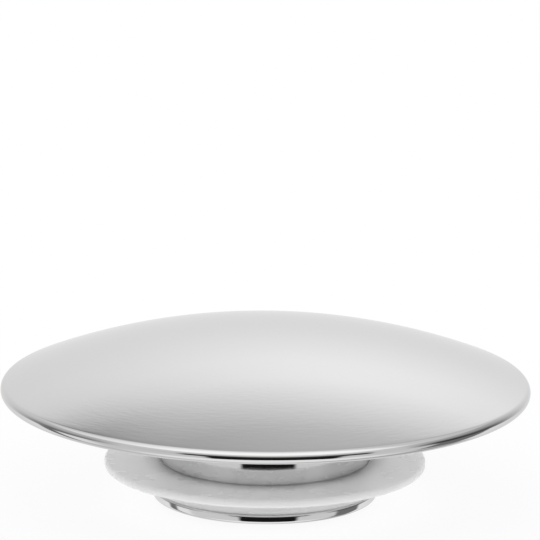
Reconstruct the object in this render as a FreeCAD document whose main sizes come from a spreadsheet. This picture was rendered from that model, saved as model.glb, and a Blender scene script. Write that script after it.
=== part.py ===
import FreeCAD, Part
import math
import os
import Sketcher

# Pop-up drain stopper: a domed cap, the neck brazed under it, the tapped boss inside the neck
# and the sealing gasket on the neck. Every piece is turned about the Z axis.
# Millimetres, dome up. The origin is on the axis, in the plane of the boss's end,
# which stands a little below the neck's lip.

SIZES = [
    # Cap: a dome that rolls over into a round bead, with a shallow conical dish underneath.
    ("cap_diameter", 66, "widest ring of the cap"),
    ("dome_height", 7.4, "top of the dome above the centre of the bead"),
    ("bead_radius", 0.9, "section of the round bead at the rim"),
    ("bead_step", 1.3, "depth of the dish behind the bead's lowest ring"),
    ("crown_thickness", 2.9, "metal between the top of the dome and the neck's seat"),
    ("seat_margin", 0.4, "flat seat that shows around the foot of the neck"),
    # Neck: a thin tube with an outward lip that keeps the gasket on.
    ("neck_diameter", 26, "outside of the tube"),
    ("neck_bore", 24.2, "inside of the tube"),
    ("neck_length", 18.2, "from the lip's end face to the seat"),
    ("lip_diameter", 28, "outside of the lip"),
    ("lip_thickness", 1.25, "from the lip's end face to its shoulder"),
    ("lip_chamfer", 0.4, "broken end edge of the lip"),
    # Boss: a bush with a coarse 8 mm thread for the drain's spindle.
    ("boss_diameter", 10.6, "outside of the bush"),
    ("boss_stand_out", 0.6, "how far the bush stands out past the lip"),
    ("boss_chamfer", 0.2, "broken end edge of the bush"),
    ("thread_core_diameter", 6.65, "bore at the crests of the thread"),
    ("thread_depth", 14, "straight wall of the tapped hole, from the mouth"),
    ("drill_point_angle", 118, "cone at the bottom of the hole, in degrees"),
    ("countersink_diameter", 8.2, "mouth of the tapped hole"),
    ("countersink_angle", 90, "cone at the mouth, in degrees"),
    # Gasket: a hub that grips the neck and a thin flange that seals on the drain.
    ("gasket_diameter", 40, "outside of the flange"),
    ("gasket_height", 3.6, "from the lip's shoulder to the face towards the cap"),
    ("gasket_clearance", 0.05, "between the gasket's bore and the neck"),
    ("flange_thickness", 1.05, "sealing flange"),
    ("flange_chamfer", 0.25, "broken edges of the flange"),
    ("hub_diameter", 30, "hub where it meets the flange"),
    ("hub_tip_diameter", 28.8, "hub where it meets the lip"),
]

# Heights and radii that more than one piece is built on.
NECK_RADIUS = "Sizes.neck_diameter / 2"
SEAT_HEIGHT = "(Sizes.boss_stand_out + Sizes.neck_length)"
SEAT_ABOVE_BEAD = "(Sizes.dome_height - Sizes.crown_thickness)"
HUB_HEIGHT = "(Sizes.gasket_height - Sizes.flange_thickness)"

doc = FreeCAD.newDocument("DrainStopper")
sheet = doc.addObject("Spreadsheet::Sheet", "Sizes")
for row, (alias, number, meaning) in enumerate(SIZES, start=1):
    sheet.set(f"A{row}", meaning)
    sheet.set(f"B{row}", str(number))
    sheet.setAlias(f"B{row}", alias)
doc.recompute()


def size(expression):
    """The present value of an expression of named sizes."""
    return float(sheet.evalExpression(expression))


def point(radius, height):
    return FreeCAD.Vector(size(radius), size(height), 0)


def new_body(label, height):
    """A sub-part with its own frame at a height on the axis."""
    body = doc.addObject("PartDesign::Body", label)
    body.Label = label
    body.setExpression("Placement.Base.z", height)
    return body


def new_sketch(body, name, role):
    sketch = body.newObject("Sketcher::SketchObject", name)
    plane = next(f for f in body.Origin.OriginFeatures if f.Role == role)
    sketch.AttachmentSupport = [(plane, "")]
    sketch.MapMode = "FlatFace"
    return sketch


def start(curve):
    return curve, 1


def end(curve):
    return curve, 2


def centre(curve):
    return curve, 3


def bind(sketch, name, expression, kind, *where):
    """Adds a dimension, such as DistanceX or Radius, that follows an expression."""
    index = sketch.addConstraint(Sketcher.Constraint(kind, *where, size(expression)))
    sketch.renameConstraint(index, name)
    sketch.setExpression(f"Constraints.{name}", expression)


def join(sketch, first, second):
    sketch.addConstraint(Sketcher.Constraint("Coincident", *first, *second))


def hold(sketch, name, place, radius, height):
    """Fixes a place at a radius and a height. Zero puts it on that axis of the sketch."""
    radius_axis, turning_axis = -1, -2
    origin = start(radius_axis)
    if radius == "0":
        sketch.addConstraint(Sketcher.Constraint("PointOnObject", *place, turning_axis))
    else:
        bind(sketch, name + "_radius", radius, "DistanceX", *origin, *place)
    if height == "0":
        sketch.addConstraint(Sketcher.Constraint("PointOnObject", *place, radius_axis))
    elif height:
        bind(sketch, name + "_height", height, "DistanceY", *origin, *place)


def draw_line(sketch, first, second):
    return sketch.addGeometry(Part.LineSegment(first, second))


def draw_chain(sketch, corners):
    """Straight lines from corner to corner, each corner held. Returns its first and last place."""
    points = [point(radius, height) for name, radius, height in corners]
    lines = [draw_line(sketch, *pair) for pair in zip(points, points[1:])]
    for line, following in zip(lines, lines[1:]):
        join(sketch, end(line), start(following))
    places = [start(line) for line in lines] + [end(lines[-1])]
    for place, corner in zip(places, corners):
        name, radius, height = corner
        hold(sketch, name, place, radius, height)
    return places[0], places[-1]


def draw_closed(sketch, corners):
    """A closed outline of straight lines, each corner held."""
    first, last = draw_chain(sketch, corners)
    closing = draw_line(sketch, point(*corners[-1][1:]), point(*corners[0][1:]))
    join(sketch, last, start(closing))
    join(sketch, end(closing), first)


def revolve(body, sketch, name):
    turned = body.newObject("PartDesign::Revolution", name)
    turned.Profile = sketch
    turned.ReferenceAxis = (sketch, ["V_Axis"])
    doc.recompute()
    return turned


def ring_edge(feature, radius, height):
    """The name of the circular edge nearest to a radius and a height in the body's frame."""
    def distance(index):
        circle = edges[index].Curve
        return math.hypot(circle.Radius - size(radius), circle.Center.z - size(height))
    edges = feature.Shape.Edges
    circles = [index for index, edge in enumerate(edges) if isinstance(edge.Curve, Part.Circle)]
    return f"Edge{min(circles, key=distance) + 1}"


def chamfer(body, base, name, amount, rings):
    """Breaks the ring edges of a turned piece, each given by its radius and height."""
    feature = body.newObject("PartDesign::Chamfer", name)
    feature.Base = (base, [ring_edge(base, radius, height) for radius, height in rings])
    feature.setExpression("Size", amount)
    doc.recompute()
    return feature


def make_dome_cap():
    """Its frame is at the centre of the bead. The dome runs into the bead without a crease."""
    body = new_body("dome_cap", f"{SEAT_HEIGHT} - {SEAT_ABOVE_BEAD}")
    sketch = new_sketch(body, "cap_section", "XZ_Plane")
    bead_centre = "(Sizes.cap_diameter / 2 - Sizes.bead_radius)"
    rim_inside = f"{bead_centre} - Sizes.bead_radius"
    seat_radius = f"{NECK_RADIUS} + Sizes.seat_margin"

    # Sphere that is level on the axis and touches the bead from inside.
    reach, bead, rise = size(bead_centre), size("Sizes.bead_radius"), size("Sizes.dome_height")
    dome_radius = (reach ** 2 + rise ** 2 - bead ** 2) / (2 * (rise - bead))
    dome_centre = rise - dome_radius
    rim_angle = math.atan2(-dome_centre, reach)

    def arc(middle, radius, first_angle, last_angle):
        circle = Part.Circle(middle, FreeCAD.Vector(0, 0, 1), radius)
        return sketch.addGeometry(Part.ArcOfCircle(circle, first_angle, last_angle))

    dome = arc(FreeCAD.Vector(0, dome_centre, 0), dome_radius, rim_angle, math.pi / 2)
    rim = arc(FreeCAD.Vector(reach, 0, 0), bead, -math.pi / 2, rim_angle)
    rim_low = point(bead_centre, "-Sizes.bead_radius")
    bevel = draw_line(sketch, rim_low, point(rim_inside, "0"))
    underside_start, underside_end = draw_chain(sketch, [
        ("rim_inside", rim_inside, "0"),
        ("dish_edge", rim_inside, "Sizes.bead_step - Sizes.bead_radius"),
        ("seat_edge", seat_radius, SEAT_ABOVE_BEAD),
        ("seat_middle", "0", SEAT_ABOVE_BEAD),
    ])
    axis_line = draw_line(sketch, point("0", SEAT_ABOVE_BEAD), point("0", "Sizes.dome_height"))

    hold(sketch, "bead_centre", centre(rim), bead_centre, "0")
    bind(sketch, "bead_section", "Sizes.bead_radius", "Radius", rim)
    sketch.addConstraint(Sketcher.Constraint("Vertical", *start(rim), *centre(rim)))
    hold(sketch, "dome_centre", centre(dome), "0", None)
    hold(sketch, "dome_top", end(dome), "0", "Sizes.dome_height")
    sketch.addConstraint(Sketcher.Constraint("Tangent", *start(dome), *end(rim)))
    join(sketch, start(rim), start(bevel))
    join(sketch, end(bevel), underside_start)
    join(sketch, underside_end, start(axis_line))
    join(sketch, end(axis_line), end(dome))
    revolve(body, sketch, "cap_turned")
    return body


def make_neck():
    """Its frame is at the lip's end face."""
    body = new_body("neck", "Sizes.boss_stand_out")
    sketch = new_sketch(body, "neck_section", "XZ_Plane")
    bore = "Sizes.neck_bore / 2"
    lip = "Sizes.lip_diameter / 2"
    draw_closed(sketch, [
        ("mouth", bore, "0"),
        ("lip_end", lip, "0"),
        ("lip_shoulder", lip, "Sizes.lip_thickness"),
        ("wall_start", NECK_RADIUS, "Sizes.lip_thickness"),
        ("foot_outside", NECK_RADIUS, "Sizes.neck_length"),
        ("foot_inside", bore, "Sizes.neck_length"),
    ])
    tube = revolve(body, sketch, "neck_turned")
    chamfer(body, tube, "lip_end_chamfer", "Sizes.lip_chamfer", [(lip, "0")])
    return body


def make_threaded_boss():
    """Its frame is at the bush's end. The thread is cut from the hole's wall outwards."""
    body = new_body("threaded_boss", "0 mm")
    sketch = new_sketch(body, "boss_section", "XZ_Plane")
    outside = "Sizes.boss_diameter / 2"
    draw_closed(sketch, [
        ("end_middle", "0", "0"),
        ("end_edge", outside, "0"),
        ("foot_edge", outside, SEAT_HEIGHT),
        ("foot_middle", "0", SEAT_HEIGHT),
    ])
    bush = revolve(body, sketch, "boss_turned")
    blank = chamfer(body, bush, "boss_end_chamfer", "Sizes.boss_chamfer", [(outside, "0")])

    mouth = new_sketch(body, "thread_mouth", "XY_Plane")
    core = size("Sizes.thread_core_diameter / 2")
    circle = mouth.addGeometry(Part.Circle(FreeCAD.Vector(), FreeCAD.Vector(0, 0, 1), core))
    hold(mouth, "mouth", centre(circle), "0", "0")
    bind(mouth, "core", "Sizes.thread_core_diameter / 2", "Radius", circle)
    doc.recompute()
    hole = body.newObject("PartDesign::Hole", "thread_hole")
    hole.Profile = mouth
    hole.Reversed = True
    hole.ThreadType = "None"
    hole.DepthType = "Dimension"
    hole.DrillPoint = "Angled"
    hole.HoleCutType = "Countersink"
    hole.HoleCutCustomValues = True
    for quantity, alias in (
        ("Diameter", "thread_core_diameter"),
        ("Depth", "thread_depth"),
        ("DrillPointAngle", "drill_point_angle"),
        ("HoleCutDiameter", "countersink_diameter"),
        ("HoleCutCountersinkAngle", "countersink_angle"),
    ):
        hole.setExpression(quantity, f"Sizes.{alias}")
    doc.recompute()
    if hole.Shape.Volume >= blank.Shape.Volume:
        raise RuntimeError("the tapped hole points away from the boss")
    return body


def make_gasket():
    """Its frame is at the lip's shoulder, which its hub rests on."""
    body = new_body("gasket", "Sizes.boss_stand_out + Sizes.lip_thickness")
    sketch = new_sketch(body, "gasket_section", "XZ_Plane")
    bore = f"{NECK_RADIUS} + Sizes.gasket_clearance"
    hub_tip = "Sizes.hub_tip_diameter / 2"
    hub_root = "Sizes.hub_diameter / 2"
    edge = "Sizes.gasket_diameter / 2"
    draw_closed(sketch, [
        ("bore_at_lip", bore, "0"),
        ("hub_tip", hub_tip, "0"),
        ("hub_root", hub_root, HUB_HEIGHT),
        ("seal_edge", edge, HUB_HEIGHT),
        ("top_edge", edge, "Sizes.gasket_height"),
        ("bore_at_top", bore, "Sizes.gasket_height"),
    ])
    ring = revolve(body, sketch, "gasket_moulded")
    chamfer(body, ring, "flange_edge_chamfer", "Sizes.flange_chamfer",
            [(edge, HUB_HEIGHT), (edge, "Sizes.gasket_height")])
    return body


bodies = [make_dome_cap(), make_neck(), make_threaded_boss(), make_gasket()]
doc.recompute()

failed = [o.Label for o in doc.Objects if "Invalid" in o.State or "Error" in o.State]
if failed:
    raise RuntimeError("failed features: " + ", ".join(failed))
for body in bodies:
    if body.Shape.isNull() or not body.Shape.isValid() or len(body.Shape.Solids) != 1:
        raise RuntimeError(f"{body.Label} is not one valid solid")

os.makedirs("parts", exist_ok=True)
for body in bodies:
    body.Shape.exportStep(f"parts/{body.Label}.step")
    box = body.Shape.optimalBoundingBox()
    print(f"{body.Label}: {body.Shape.Volume:.1f} mm3, z {box.ZMin:.2f} to {box.ZMax:.2f}, "
          f"diameter {box.XLength:.2f}")
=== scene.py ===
import math

import bmesh
import bpy
from mathutils import Matrix, Vector


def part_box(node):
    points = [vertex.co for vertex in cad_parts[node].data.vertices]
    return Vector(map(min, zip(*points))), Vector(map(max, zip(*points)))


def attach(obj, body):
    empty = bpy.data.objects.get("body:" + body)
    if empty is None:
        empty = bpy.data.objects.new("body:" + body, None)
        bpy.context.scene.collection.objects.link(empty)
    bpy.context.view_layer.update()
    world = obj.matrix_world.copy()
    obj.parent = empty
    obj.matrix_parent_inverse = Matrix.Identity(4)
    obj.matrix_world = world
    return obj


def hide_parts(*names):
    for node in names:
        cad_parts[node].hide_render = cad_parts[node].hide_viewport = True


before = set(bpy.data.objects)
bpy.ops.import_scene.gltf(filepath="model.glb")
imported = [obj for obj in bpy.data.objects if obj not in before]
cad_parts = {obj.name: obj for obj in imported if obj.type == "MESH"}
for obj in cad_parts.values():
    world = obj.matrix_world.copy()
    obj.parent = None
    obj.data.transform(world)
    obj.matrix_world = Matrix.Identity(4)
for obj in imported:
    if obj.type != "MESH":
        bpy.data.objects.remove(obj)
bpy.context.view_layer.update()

# Pop-up drain stopper, dome up: a polished cap with a rolled bead, a turned neck with a lip,
# a tapped boss inside the neck and a silicone gasket on it. Sections are drawn in millimetres,
# with the radius along X, and turned about Z.

MM = 0.001


def box_mm(node):
    """Lowest and highest corner of a solid, in millimetres."""
    return [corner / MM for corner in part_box(node)]


CAP_LOW, CAP_HIGH = box_mm("dome_cap")
NECK_LOW, NECK_HIGH = box_mm("neck")
BOSS_LOW, BOSS_HIGH = box_mm("threaded_boss")
GASKET_LOW, GASKET_HIGH = box_mm("gasket")

# Cap
BEAD_RADIUS = 0.9
BEAD_CENTRE = CAP_HIGH.x - BEAD_RADIUS
BEAD_HEIGHT = CAP_LOW.z + BEAD_RADIUS
DISH_STEP = 1.3
SEAT_HEIGHT = NECK_HIGH.z
SEAT_RADIUS = 13.4

# Neck
NECK_RADIUS = 13.0
NECK_BORE = 12.1
LIP_RADIUS = NECK_HIGH.x
LIP_THICKNESS = 1.25
LIP_END_ROUND = 0.5
LIP_SHOULDER_ROUND = 0.3
MOUTH_ROUND = 0.15
BRAZE_FILLET = 0.3

# Boss and its 8 mm coarse right-hand thread
BOSS_RADIUS = BOSS_HIGH.x
BOSS_ROUND = 0.2
COUNTERSINK_RADIUS = 4.1
THREAD_CORE = 3.325
THREAD_ROOT = 4.0
THREAD_PITCH = 1.25
CREST_SHARE = 0.25
ROOT_SHARE = 0.125
MOUTH_BREAK = 0.1
THREAD_LENGTH = 12.5
THREAD_RUN_OUT = 1.5
HOLE_DEPTH = 14.0
DRILL_POINT_HALF_ANGLE = math.radians(59)

# Gasket
GASKET_BORE = 13.05
FLANGE_RADIUS = GASKET_HIGH.x
FLANGE_THICKNESS = 1.05
FLANGE_ROUND = 0.3
HUB_RADIUS = 15.0
HUB_TIP_RADIUS = 14.4
HUB_FILLET = 0.3
HUB_TIP_ROUND = 0.9

# Fineness of the meshes
TURN_STEPS = 256
BOSS_STEPS = 96
DOME_STEPS = 64
BEAD_STEPS = 48
ROUND_STEPS = 8
DISH_PARTS = 24
SEAT_PARTS = 4
CREST_PARTS = 3
FLANK_PARTS = 4
ROOT_PARTS = 2
MERGE_DISTANCE = 0.0005
SHARP_ANGLE = math.radians(40)


class Section:
    """Half a section, drawn from point to point, ready to be turned about the axis."""

    def __init__(self, radius, height):
        self.mesh = bmesh.new()
        self.tip = self.mesh.verts.new((radius * MM, 0, height * MM))
        self.first = self.tip
        self.rounds = []

    def line(self, radius, height, rounding=0, parts=1):
        """A straight run to a new tip, cut into parts. The tip may be rounded once all is drawn."""
        start, goal = self.tip.co.copy(), Vector((radius, 0, height)) * MM
        for part in range(1, parts + 1):
            self.tip = bmesh.ops.extrude_vert_indiv(self.mesh, verts=[self.tip])["verts"][0]
            self.tip.co = start.lerp(goal, part / parts)
        if rounding:
            self.rounds.append((self.tip, rounding))

    def arc(self, centre_radius, centre_height, degrees, steps):
        """Swings the tip round a centre, clockwise with the radius to the right and the axis up."""
        made = bmesh.ops.spin(
            self.mesh, geom=[self.tip], cent=(centre_radius * MM, 0, centre_height * MM),
            axis=(0, 1, 0), angle=math.radians(degrees), steps=steps)
        self.tip = made["geom_last"][0]

    def close(self):
        self.mesh.edges.new((self.tip, self.first))

    def turn(self, steps=TURN_STEPS):
        """Rounds the corners, then turns the section right round."""
        bm = self.mesh
        for corner, rounding in self.rounds:
            runs = [edge.other_vert(corner).co - corner.co for edge in corner.link_edges]
            half_angle = runs[0].angle(runs[1]) / 2
            bmesh.ops.bevel(
                bm, geom=[corner], offset=rounding * MM / math.tan(half_angle), offset_type="OFFSET",
                segments=ROUND_STEPS, profile=0.5, affect="VERTICES", material=-1)
        bmesh.ops.spin(
            bm, geom=bm.verts[:] + bm.edges[:], cent=(0, 0, 0), axis=(0, 0, 1),
            angle=2 * math.pi, steps=steps, use_merge=True)
        return bm


def dome_cap():
    """The dome is a sphere, level on the axis, that runs into the bead without a crease."""
    rise = CAP_HIGH.z - BEAD_HEIGHT
    dome_radius = (BEAD_CENTRE ** 2 + rise ** 2 - BEAD_RADIUS ** 2) / (2 * (rise - BEAD_RADIUS))
    dome_sweep = math.degrees(math.atan2(BEAD_CENTRE, dome_radius - rise))
    dish_edge = CAP_LOW.z + DISH_STEP
    inner_sweep = 180 + math.degrees(math.asin((dish_edge - BEAD_HEIGHT) / BEAD_RADIUS))
    section = Section(0, CAP_HIGH.z)
    section.arc(0, CAP_HIGH.z - dome_radius, dome_sweep, DOME_STEPS)
    section.arc(BEAD_CENTRE, BEAD_HEIGHT, 90 - dome_sweep + inner_sweep, BEAD_STEPS)
    section.line(SEAT_RADIUS, SEAT_HEIGHT, parts=DISH_PARTS)
    section.line(0, SEAT_HEIGHT, parts=SEAT_PARTS)
    return section.turn()


def neck():
    """A tube with a rounded lip at its open end and a braze fillet where it meets the dish."""
    lip_shoulder = NECK_LOW.z + LIP_THICKNESS
    section = Section(NECK_BORE, NECK_HIGH.z)
    section.line(NECK_BORE, NECK_LOW.z, MOUTH_ROUND)
    section.line(LIP_RADIUS, NECK_LOW.z, LIP_END_ROUND)
    section.line(LIP_RADIUS, lip_shoulder, LIP_SHOULDER_ROUND)
    section.line(NECK_RADIUS, lip_shoulder)
    section.line(NECK_RADIUS, NECK_HIGH.z - BRAZE_FILLET)
    section.arc(NECK_RADIUS + BRAZE_FILLET, NECK_HIGH.z - BRAZE_FILLET, 90, ROUND_STEPS)
    section.close()
    return section.turn()


def gasket():
    """A ring with a tapered hub and a thin flange above it."""
    flange_low = GASKET_HIGH.z - FLANGE_THICKNESS
    section = Section(GASKET_BORE, GASKET_LOW.z)
    section.line(HUB_TIP_RADIUS, GASKET_LOW.z, HUB_TIP_ROUND)
    section.line(HUB_RADIUS, flange_low, HUB_FILLET)
    section.line(FLANGE_RADIUS, flange_low, FLANGE_ROUND)
    section.line(FLANGE_RADIUS, GASKET_HIGH.z, FLANGE_ROUND)
    section.line(GASKET_BORE, GASKET_HIGH.z)
    section.close()
    return section.turn()


def wound_thread():
    """The wall of the tapped hole: one pitch of the thread, wound up the axis, right-handed. It is cut
    off level at both ends, runs out at the top, and opens into the countersink at the bottom."""
    flank = (1 - CREST_SHARE - ROOT_SHARE) / 2 * THREAD_PITCH
    crest, root = CREST_SHARE * THREAD_PITCH, ROOT_SHARE * THREAD_PITCH
    start = BOSS_LOW.z - 2 * THREAD_PITCH
    turns = math.ceil(THREAD_LENGTH / THREAD_PITCH) + 2
    pitch = Section(THREAD_CORE, start)
    pitch.line(THREAD_CORE, start + crest, parts=CREST_PARTS)
    pitch.line(THREAD_ROOT, start + crest + flank, parts=FLANK_PARTS)
    pitch.line(THREAD_ROOT, start + crest + flank + root, parts=ROOT_PARTS)
    pitch.line(THREAD_CORE, start + THREAD_PITCH, parts=FLANK_PARTS)
    bm = pitch.mesh
    bmesh.ops.spin(
        bm, geom=bm.verts[:] + bm.edges[:], cent=(0, 0, 0), axis=(0, 0, 1),
        dvec=(0, 0, THREAD_PITCH * MM / BOSS_STEPS), angle=2 * math.pi, steps=BOSS_STEPS)
    first_turn = bm.verts[:] + bm.edges[:] + bm.faces[:]
    for turn in range(1, turns):
        copy = bmesh.ops.duplicate(bm, geom=first_turn)["geom"]
        bmesh.ops.translate(
            bm, vec=(0, 0, turn * THREAD_PITCH * MM),
            verts=[item for item in copy if isinstance(item, bmesh.types.BMVert)])
    bmesh.ops.remove_doubles(bm, verts=bm.verts, dist=MERGE_DISTANCE * MM)
    for height, upwards in ((BOSS_LOW.z, 1), (THREAD_LENGTH, -1)):
        bmesh.ops.bisect_plane(
            bm, geom=bm.verts[:] + bm.edges[:] + bm.faces[:], plane_co=(0, 0, height * MM),
            plane_no=(0, 0, upwards), clear_inner=True)
    for vert in bm.verts:
        radius, height = vert.co.xy.length / MM, vert.co.z / MM
        depth_share = min((THREAD_LENGTH - height) / THREAD_RUN_OUT, 1)
        cut = THREAD_CORE + (radius - THREAD_CORE) * depth_share
        vert.co.xy *= max(cut, COUNTERSINK_RADIUS + BOSS_LOW.z - height) / radius
    return bm


def threaded_boss():
    """A bush whose hole is countersunk, threaded, and drilled a little deeper than the thread."""
    section = Section(0, BOSS_HIGH.z)
    section.line(BOSS_RADIUS, BOSS_HIGH.z)
    section.line(BOSS_RADIUS, BOSS_LOW.z, BOSS_ROUND)
    section.line(COUNTERSINK_RADIUS + MOUTH_BREAK, BOSS_LOW.z)
    bm = section.turn(BOSS_STEPS)
    thread = wound_thread()
    wall = bpy.data.meshes.new("thread_wall")
    thread.to_mesh(wall)
    thread.free()
    bm.from_mesh(wall)
    bpy.data.meshes.remove(wall)

    open_edges = [edge for edge in bm.edges if edge.is_boundary]
    halfway = THREAD_LENGTH / 2 * MM
    mouth = [edge for edge in open_edges if edge.verts[0].co.z < halfway]
    rim = [edge for edge in open_edges if edge.verts[0].co.z > halfway]
    bmesh.ops.bridge_loops(bm, edges=mouth)
    point_height = HOLE_DEPTH + THREAD_CORE / math.tan(DRILL_POINT_HALF_ANGLE)
    for height, width in ((HOLE_DEPTH, 1), (point_height, 0)):
        made = bmesh.ops.extrude_edge_only(bm, edges=rim)["geom"]
        rim = [item for item in made if isinstance(item, bmesh.types.BMEdge)]
        for vert in {vert for edge in rim for vert in edge.verts}:
            vert.co = vert.co.x * width, vert.co.y * width, height * MM
    return bm


def linear(hex_colour):
    """A linear colour from an sRGB hex value."""
    parts = [int(hex_colour[place:place + 2], 16) / 255 for place in (1, 3, 5)]
    return [v / 12.92 if v <= 0.04045 else ((v + 0.055) / 1.055) ** 2.4 for v in parts] + [1]


def add(tree, kind, inputs=None, stops=(), **settings):
    """Adds a node with its settings and a ramp's stops, and sets or links its inputs."""
    node = tree.nodes.new(kind)
    for name, value in settings.items():
        setattr(node, name, value)
    for index, (position, colour) in enumerate(stops):
        ramp = node.color_ramp.elements
        stop = ramp[index] if index < len(ramp) else ramp.new(1)
        stop.position, stop.color = position, colour
    for socket, value in (inputs or {}).items():
        if isinstance(value, bpy.types.NodeSocket):
            tree.links.new(value, node.inputs[socket])
        else:
            node.inputs[socket].default_value = value
    return node


def new_material(name, shader_inputs):
    material = bpy.data.materials.new(name)
    material.use_nodes = True
    tree = material.node_tree
    shader = tree.nodes["Principled BSDF"]
    for socket, value in shader_inputs.items():
        shader.inputs[socket].default_value = value
    return material, tree, shader


# Sizes of the finishes' patterns, in millimetres. Real buffing streaks and tool marks are finer than
# 0.1 mm, too fine to show in the render, so both are drawn coarser.
HAZE_SIZE = 9
STREAK_WIDTH = 0.4
STREAK_DEPTH = 0.007
STREAKS_IN_RADIAN = 16
TOOL_MARK = 0.6
CLOUD_SIZE = 4
SCATTER_DEPTH = 6

# Roughness of each finish, from its clearest to its dullest spots
BUFFED_CLEAR, BUFFED_DULL = 0.05, 0.1
TURNED_CLEAR, TURNED_DULL = 0.05, 0.1
MOULDED_CLEAR, MOULDED_DULL = 0.2, 0.32

# Between these two lie most values of a noise texture. The band is that of a wave texture of scale 1.
NOISE_LOW, NOISE_HIGH = 0.3, 0.7
WAVE_BAND = 2 * math.pi / 20


def polished_chrome():
    """Chrome plate, buffed while the cap turns: a neutral mirror with faint streaks that run
    round it."""
    material, tree, shader = new_material(
        "buffed_chrome_plate", {"Base Color": linear("#D5D5D5"), "Metallic": 1})
    place = add(tree, "ShaderNodeTexCoord").outputs["Object"]
    haze = add(tree, "ShaderNodeTexNoise", {
        "Vector": place, "Scale": 1 / (HAZE_SIZE * MM), "Detail": 3})
    across = add(tree, "ShaderNodeVectorMath", {0: place, 1: (1, 1, 0)},
                 operation="MULTIPLY").outputs["Vector"]
    radius = add(tree, "ShaderNodeVectorMath", {0: across}, operation="LENGTH").outputs["Value"]
    heading = add(tree, "ShaderNodeVectorMath", {0: across}, operation="NORMALIZE").outputs["Vector"]
    outwards = add(tree, "ShaderNodeMath", {0: radius, 1: 1 / (STREAK_WIDTH * MM)}, operation="MULTIPLY")
    steps = add(tree, "ShaderNodeCombineXYZ", {"Z": outwards.outputs[0]}).outputs["Vector"]
    swept = add(tree, "ShaderNodeVectorMath", {0: heading, 1: [STREAKS_IN_RADIAN] * 3, 2: steps},
                operation="MULTIPLY_ADD").outputs["Vector"]
    streaks = add(tree, "ShaderNodeTexNoise", {"Vector": swept, "Scale": 1, "Detail": 2})
    marks = add(tree, "ShaderNodeMix", {
        "Factor": 0.5, "A": haze.outputs["Fac"], "B": streaks.outputs["Fac"]}).outputs["Result"]
    roughness = add(tree, "ShaderNodeMapRange", {
        "Value": marks, "From Min": NOISE_LOW, "From Max": NOISE_HIGH,
        "To Min": BUFFED_CLEAR, "To Max": BUFFED_DULL})
    tree.links.new(roughness.outputs["Result"], shader.inputs["Roughness"])
    grooves = add(tree, "ShaderNodeBump", {
        "Height": streaks.outputs["Fac"], "Distance": STREAK_DEPTH * MM})
    tree.links.new(grooves.outputs["Normal"], shader.inputs["Normal"])
    return material


def turned_chrome():
    """Chrome plate over a turned surface: the tool's fine rings still show in the shine."""
    material, tree, shader = new_material(
        "chrome_plate_on_turned_brass", {"Base Color": linear("#DCDCDC"), "Metallic": 1})
    place = add(tree, "ShaderNodeTexCoord").outputs["Object"]
    rings = add(tree, "ShaderNodeTexWave", {
        "Vector": place, "Scale": WAVE_BAND / (TOOL_MARK * MM), "Distortion": 0.4, "Detail": 2},
        bands_direction="Z")
    roughness = add(tree, "ShaderNodeMapRange", {
        "Value": rings.outputs["Fac"], "To Min": TURNED_CLEAR, "To Max": TURNED_DULL})
    tree.links.new(roughness.outputs["Result"], shader.inputs["Roughness"])
    return material


def moulded_silicone():
    """Translucent white silicone rubber from a satin mould: light spreads so far in it that the thin
    flange glows with what lies behind it, while the hub, against the metal, looks greyer."""
    material, tree, shader = new_material("moulded_silicone", {
        "Base Color": linear("#FCFCFC"), "IOR": 1.41, "Subsurface Weight": 1,
        "Subsurface Scale": SCATTER_DEPTH * MM, "Subsurface Radius": (1, 1, 1)})
    place = add(tree, "ShaderNodeTexCoord").outputs["Object"]
    cloud = add(tree, "ShaderNodeTexNoise", {
        "Vector": place, "Scale": 1 / (CLOUD_SIZE * MM), "Detail": 2})
    roughness = add(tree, "ShaderNodeMapRange", {
        "Value": cloud.outputs["Fac"], "From Min": NOISE_LOW, "From Max": NOISE_HIGH,
        "To Min": MOULDED_CLEAR, "To Max": MOULDED_DULL})
    tree.links.new(roughness.outputs["Result"], shader.inputs["Roughness"])
    return material


def finish_piece(name, bm, material, body, node):
    """Makes a turned mesh one of the object's pieces."""
    bmesh.ops.remove_doubles(bm, verts=bm.verts, dist=MERGE_DISTANCE * MM)
    bmesh.ops.recalc_face_normals(bm, faces=bm.faces)
    for face in bm.faces:
        face.smooth = True
    mesh = bpy.data.meshes.new(name)
    bm.to_mesh(mesh)
    bm.free()
    mesh.set_sharp_from_angle(angle=SHARP_ANGLE)
    mesh.materials.append(material)
    piece = bpy.data.objects.new(name, mesh)
    bpy.context.collection.objects.link(piece)
    flats = piece.modifiers.new("flats_stay_flat", "WEIGHTED_NORMAL")
    flats.keep_sharp = True
    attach(piece, body)
    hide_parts(node)


chrome = polished_chrome()
turned = turned_chrome()
finish_piece("dome_cap_polished", dome_cap(), chrome, "stopper", "dome_cap")
finish_piece("neck_turned", neck(), turned, "stopper", "neck")
finish_piece("boss_tapped", threaded_boss(), turned, "stopper", "threaded_boss")
finish_piece("gasket_moulded", gasket(), moulded_silicone(), "seal", "gasket")


# Camera, fitted to the lower of the photo's two views, for an image of 540 by 540 pixels
FRAME_PX = 540
FOCAL_PX = 6424
SENSOR_WIDTH = 36
VIEW_ELEVATION = math.radians(14.8)
VIEW_DISTANCE = 0.8
VIEW_ROLL = 0.008
VIEW_NEAR, VIEW_FAR = 0.05, 20
BEAD_CENTRE_AT_PX = (266.46, 388.36)


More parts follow.
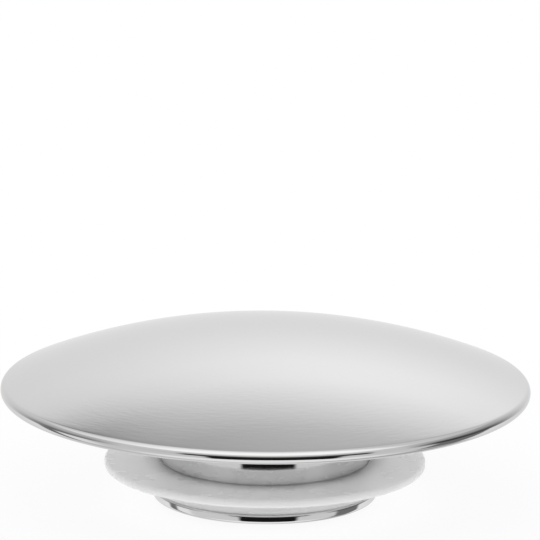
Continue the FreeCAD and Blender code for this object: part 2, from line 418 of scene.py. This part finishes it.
def place_camera():
    """Stands the camera in front, and turns it until the bead's centre is at its pixel."""
    data = bpy.data.cameras.new("photo_camera")
    data.sensor_width = SENSOR_WIDTH
    data.sensor_fit = "HORIZONTAL"
    data.lens = FOCAL_PX / FRAME_PX * SENSOR_WIDTH
    data.clip_start = VIEW_NEAR
    data.clip_end = VIEW_FAR
    camera = bpy.data.objects.new("photo_camera", data)
    bpy.context.collection.objects.link(camera)
    target = Vector((0, 0, BEAD_HEIGHT * MM))
    back = Vector((0, -math.cos(VIEW_ELEVATION), math.sin(VIEW_ELEVATION)))
    aim = Matrix.Rotation(math.pi / 2 - VIEW_ELEVATION, 4, "X")
    right_px = BEAD_CENTRE_AT_PX[0] - FRAME_PX / 2
    down_px = BEAD_CENTRE_AT_PX[1] - FRAME_PX / 2
    tilt = Matrix.Rotation(math.atan(down_px / FOCAL_PX), 4, "X")
    turn = Matrix.Rotation(math.atan(right_px / FOCAL_PX), 4, "Y")
    roll = Matrix.Rotation(VIEW_ROLL, 4, "Z")
    camera.matrix_world = Matrix.Translation(target + back * VIEW_DISTANCE) @ aim @ tilt @ turn @ roll
    bpy.context.scene.camera = camera


# Studio, as the metal mirrors it. Angles are in degrees: elevation above the table, and azimuth from
# the camera's side, to the right of it. Levels are radiances, where 1 is paper white.

# The far wall, behind the stopper, by elevation. It leans to one side, and has two soft spots: the
# direction of each, its width in degrees and the level that it adds.
FAR_WALL = [(-90, 0.85), (-15, 0.85), (0, 0.83), (20, 0.82), (30, 0.79), (38, 0.72), (44, 0.60),
            (50, 0.49), (55, 0.41), (60, 0.42), (75, 0.55), (82, 0.75), (90, 0.95)]
WALL_LEAN = 14.1
FAR_SPOTS = [((0.132, 0.767, 0.627), 22.0, 0.46), ((-0.392, 0.601, 0.696), 9.5, -0.5)]

# Rings of white and dark cards, by azimuth, from the zenith down to the table
ZENITH_LEVEL = 0.95
OVERHEAD_CARDS = [(-180, 0.8), (-120, 0.86), (-105, 1.0), (-80, 1.1), (-63, 1.2), (-43, 1.35),
                  (42, 1.35), (62, 1.2), (78, 0.8), (110, 0.75), (127, 0.8), (180, 0.8)]
SIDE_CARDS = [(-180, 0.84), (-125, 0.7), (-105, 0.6), (-80, 0.62), (-63, 0.76), (-38, 0.8), (44, 0.8),
              (62, 0.75), (78, 0.5), (110, 0.45), (127, 0.55), (180, 0.84)]
LEVEL_CARDS = [(-180, 0.84), (-125, 0.5), (-105, 0.2), (-80, 0.3), (-63, 0.76), (-38, 0.7), (-34, 0.03),
               (44, 0.03), (48, 0.75), (62, 0.75), (70, 0.35), (78, 0.06), (90, 0.05), (110, 0.12),
               (127, 0.42), (180, 0.84)]
LOW_CARDS = [(-180, 1.0), (-116, 1.0), (-112, 0.2), (-104, 0.2), (-100, 1.0), (-85, 1.0), (-80, 0.78),
             (-28, 0.78), (-24, 0.01), (32, 0.01), (36, 0.78), (77, 0.78), (81, 0.2), (110, 0.2),
             (114, 1.0), (180, 1.0)]
TABLE_AROUND = [(-180, 0.84), (-120, 0.75), (-105, 0.6), (-80, 0.85), (-63, 1.1), (62, 1.1), (78, 0.9),
                (90, 0.6), (110, 0.44), (127, 0.45), (180, 0.84)]

# Elevations between which a ring takes over from the one below, and bearings at which the far wall does
ZENITH_EDGE = (60, 88)
OVERHEAD_EDGE = (29, 34)
SIDE_EDGE = (0, 22)
LEVEL_EDGE = (-12, -8)
LOW_EDGE = (-43, -38)
FAR_BEARING = (115, 152)

# Light on what doesn't mirror: an even room, and one softbox, sized and placed in metres
ROOM_LIGHT = 0.95
SOFTBOX_SIZE = (1.2, 0.8)
SOFTBOX_WATTS = 1.5
SOFTBOX_PLACE = (-0.5, 0.45, 0.9)

# The table's whiteness under the stopper and away from it, and where the one fades into the other
TABLE_HALF_WIDTH = 3
WHITE_NEAR, WHITE_AWAY = 0.92, 1.0
FADE_START, FADE_END = 0.03, 0.1


def paper_white_share(tree):
    """1 where the camera sees the background, straight or through something clear, and else 0."""
    ray = add(tree, "ShaderNodeLightPath").outputs
    return add(tree, "ShaderNodeMath", {0: ray["Is Camera Ray"], 1: ray["Is Transmission Ray"]},
               operation="MAXIMUM").outputs[0]


def build_studio():
    """A white background, an even light, and the wall and cards that the metal mirrors."""
    world = bpy.data.worlds.new("studio")
    world.use_nodes = True
    bpy.context.scene.world = world
    tree = world.node_tree
    tree.nodes.clear()
    direction = add(tree, "ShaderNodeTexCoord").outputs["Generated"]
    along = add(tree, "ShaderNodeSeparateXYZ", {"Vector": direction}).outputs
    rise = add(tree, "ShaderNodeMath", {0: along["Z"]}, operation="ARCSINE").outputs[0]
    elevation = add(tree, "ShaderNodeMath", {0: rise}, operation="DEGREES").outputs[0]
    nearness = add(tree, "ShaderNodeMath", {0: along["Y"], 1: -1.0}, operation="MULTIPLY").outputs[0]
    bearing = add(tree, "ShaderNodeMath", {0: along["X"], 1: nearness}, operation="ARCTAN2").outputs[0]
    azimuth = add(tree, "ShaderNodeMath", {0: bearing}, operation="DEGREES").outputs[0]
    away = add(tree, "ShaderNodeMath", {0: azimuth}, operation="ABSOLUTE").outputs[0]
    leaning = add(tree, "ShaderNodeMath", {0: along["X"], 1: WALL_LEAN, 2: elevation},
                  operation="MULTIPLY_ADD").outputs[0]

    levels = []
    for angle, reach, stops in (
            (leaning, 90, FAR_WALL), (azimuth, 180, TABLE_AROUND), (azimuth, 180, LOW_CARDS),
            (azimuth, 180, LEVEL_CARDS), (azimuth, 180, SIDE_CARDS), (azimuth, 180, OVERHEAD_CARDS)):
        share = add(tree, "ShaderNodeMapRange", {"Value": angle, "From Min": -reach, "From Max": reach})
        ramp = add(tree, "ShaderNodeValToRGB", {"Fac": share.outputs["Result"]}, stops=[
            ((degrees + reach) / (2 * reach), [level] * 3 + [1]) for degrees, level in stops])
        levels.append(ramp.outputs["Color"])
    far, table, low_cards, level_cards, side_cards, overhead_cards = levels

    for towards, width, level in FAR_SPOTS:
        facing = add(tree, "ShaderNodeVectorMath", {0: direction, 1: towards}, operation="DOT_PRODUCT")
        narrowness = 2 / math.radians(width) ** 2
        fall = add(tree, "ShaderNodeMath", {0: facing.outputs["Value"], 1: narrowness, 2: -narrowness},
                   operation="MULTIPLY_ADD").outputs[0]
        spot = add(tree, "ShaderNodeMath", {0: fall}, operation="EXPONENT").outputs[0]
        far = add(tree, "ShaderNodeMath", {0: spot, 1: level, 2: far},
                  operation="MULTIPLY_ADD").outputs[0]

    studio = table
    for angle, (start, end), level in (
            (elevation, LOW_EDGE, low_cards), (elevation, LEVEL_EDGE, level_cards),
            (elevation, SIDE_EDGE, side_cards), (elevation, OVERHEAD_EDGE, overhead_cards),
            (elevation, ZENITH_EDGE, ZENITH_LEVEL), (away, FAR_BEARING, far)):
        past = add(tree, "ShaderNodeMapRange", {"Value": angle, "From Min": start, "From Max": end},
                   interpolation_type="SMOOTHSTEP").outputs["Result"]
        studio = add(tree, "ShaderNodeMix", {"Factor": past, "A": studio, "B": level}).outputs["Result"]

    in_metal = add(tree, "ShaderNodeLightPath").outputs["Is Glossy Ray"]
    lit = add(tree, "ShaderNodeMix", {
        "Factor": in_metal, "A": ROOM_LIGHT, "B": studio}).outputs["Result"]
    level = add(tree, "ShaderNodeMix", {
        "Factor": paper_white_share(tree), "A": lit, "B": 1.0}).outputs["Result"]
    background = add(tree, "ShaderNodeBackground", {"Color": level, "Strength": 1.0})
    add(tree, "ShaderNodeOutputWorld", {"Surface": background.outputs[0]})


def hang_softbox():
    """A weak lamp above and behind, which the metal doesn't mirror, for a soft shadow."""
    lamp = bpy.data.lights.new("overhead_softbox", "AREA")
    lamp.shape = "RECTANGLE"
    lamp.size, lamp.size_y = SOFTBOX_SIZE
    lamp.energy = SOFTBOX_WATTS
    box = bpy.data.objects.new("overhead_softbox", lamp)
    box.location = SOFTBOX_PLACE
    box.rotation_euler = (-box.location).to_track_quat("-Z", "Y").to_euler()
    box.visible_glossy = False
    bpy.context.collection.objects.link(box)


def lay_floor():
    """White table, paper white to the camera, that keeps the stopper's soft shadow. From below it is
    clear, so that the underside can be seen."""
    bm = bmesh.new()
    bmesh.ops.create_grid(bm, x_segments=1, y_segments=1, size=TABLE_HALF_WIDTH)
    mesh = bpy.data.meshes.new("table")
    bm.to_mesh(mesh)
    bm.free()
    material = bpy.data.materials.new("white_table")
    material.use_nodes = True
    tree = material.node_tree
    tree.nodes.clear()
    place = add(tree, "ShaderNodeTexCoord").outputs["Object"]
    reach = add(tree, "ShaderNodeVectorMath", {0: place}, operation="LENGTH").outputs["Value"]
    whiteness = add(tree, "ShaderNodeMapRange", {
        "Value": reach, "From Min": FADE_START, "From Max": FADE_END,
        "To Min": WHITE_NEAR, "To Max": WHITE_AWAY}, interpolation_type="SMOOTHSTEP").outputs["Result"]
    share = add(tree, "ShaderNodeMath", {0: paper_white_share(tree), 1: whiteness},
                operation="MULTIPLY").outputs[0]
    paint = add(tree, "ShaderNodeBsdfDiffuse", {"Color": linear("#F4F4F4")})
    white = add(tree, "ShaderNodeEmission", {"Color": linear("#FFFFFF"), "Strength": 1.0})
    top = add(tree, "ShaderNodeMixShader", {"Fac": share, 1: paint.outputs[0], 2: white.outputs[0]})
    clear = add(tree, "ShaderNodeBsdfTransparent")
    below = add(tree, "ShaderNodeNewGeometry").outputs["Backfacing"]
    both = add(tree, "ShaderNodeMixShader", {"Fac": below, 1: top.outputs[0], 2: clear.outputs[0]})
    add(tree, "ShaderNodeOutputMaterial", {"Surface": both.outputs[0]})
    mesh.materials.append(material)
    floor = bpy.data.objects.new("table", mesh)
    floor.visible_glossy = False
    floor.visible_diffuse = False
    bpy.context.collection.objects.link(floor)


place_camera()
build_studio()
hang_softbox()
lay_floor()
bpy.context.scene.view_settings.view_transform = "Standard"
